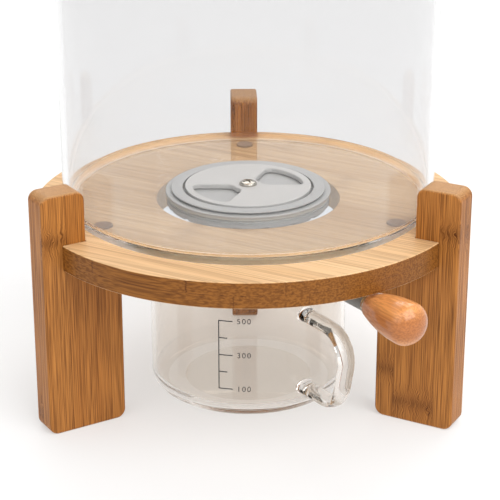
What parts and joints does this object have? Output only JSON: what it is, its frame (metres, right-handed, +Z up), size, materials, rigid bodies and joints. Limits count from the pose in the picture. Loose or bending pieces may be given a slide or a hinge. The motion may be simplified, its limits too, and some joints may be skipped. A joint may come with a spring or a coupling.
{
  "type": "glass cereal dispenser",
  "caption": "Clear glass jar on a bamboo stand, with a turning lever valve in its floor, a plug lid and a glass measuring cup under the outlet.",
  "frame": {"origin": "on the worktop, below the axis of the jar and the valve", "axes": "+Z up along the jar's axis, -Y towards the front between the two front legs, +Y through the back leg, +X to the right as seen from the front"},
  "size_m": [0.232, 0.25, 0.3898],
  "materials": {
    "bamboo": "laminated bamboo strips under a thin satin varnish",
    "knob_wood": "turned wood under a glossy varnish",
    "jar_glass": "clear polished glass",
    "cup_glass": "clear polished glass with a printed black scale",
    "grey_plastic": "light grey moulded plastic, satin",
    "grey_silicone": "light grey silicone, matt",
    "clear_silicone": "translucent silicone, satin",
    "bright_steel": "bright nickel plate",
    "plain_steel": "plain machined steel",
    "grey_metal": "dark grey metal, satin"
  },
  "bodies": {
    "stand": {"stand_board": "bamboo", "leg_back": "bamboo", "leg_left": "bamboo", "leg_right": "bamboo", "leg_screws": "plain_steel", "jar_pads": "clear_silicone", "glass_jar": "jar_glass", "valve_seat": "grey_plastic", "flange_gasket": "grey_silicone", "clamp_gasket": "grey_silicone", "clamp_nut": "grey_plastic"},
    "lever": {"shutter_disc": "grey_plastic", "centre_screw": "bright_steel", "drive_shaft": "plain_steel", "lever_arm": "grey_metal", "lever_screw": "bright_steel", "knob_ferrule": "bright_steel", "knob_stud": "plain_steel", "knob": "knob_wood"},
    "lid": {"lid_board": "bamboo", "lid_seal": "clear_silicone"},
    "cup": {"measuring_cup": "cup_glass"}
  },
  "joints": [
    {"name": "lever_turn", "type": "hinge", "parent": "stand", "child": "lever", "pos_m": [0, 0, 0.0828], "axis": [0, 0, 1], "range_deg": [-75, 0]},
    {"name": "lid_lift", "type": "slide", "parent": "stand", "child": "lid", "axis": [0, 0, 1], "range_m": [0, 0.12]},
    {"name": "cup_slide", "type": "slide", "parent": "stand", "child": "cup", "axis": [0, -1, 0], "range_m": [0, 0.2]}
  ]
}
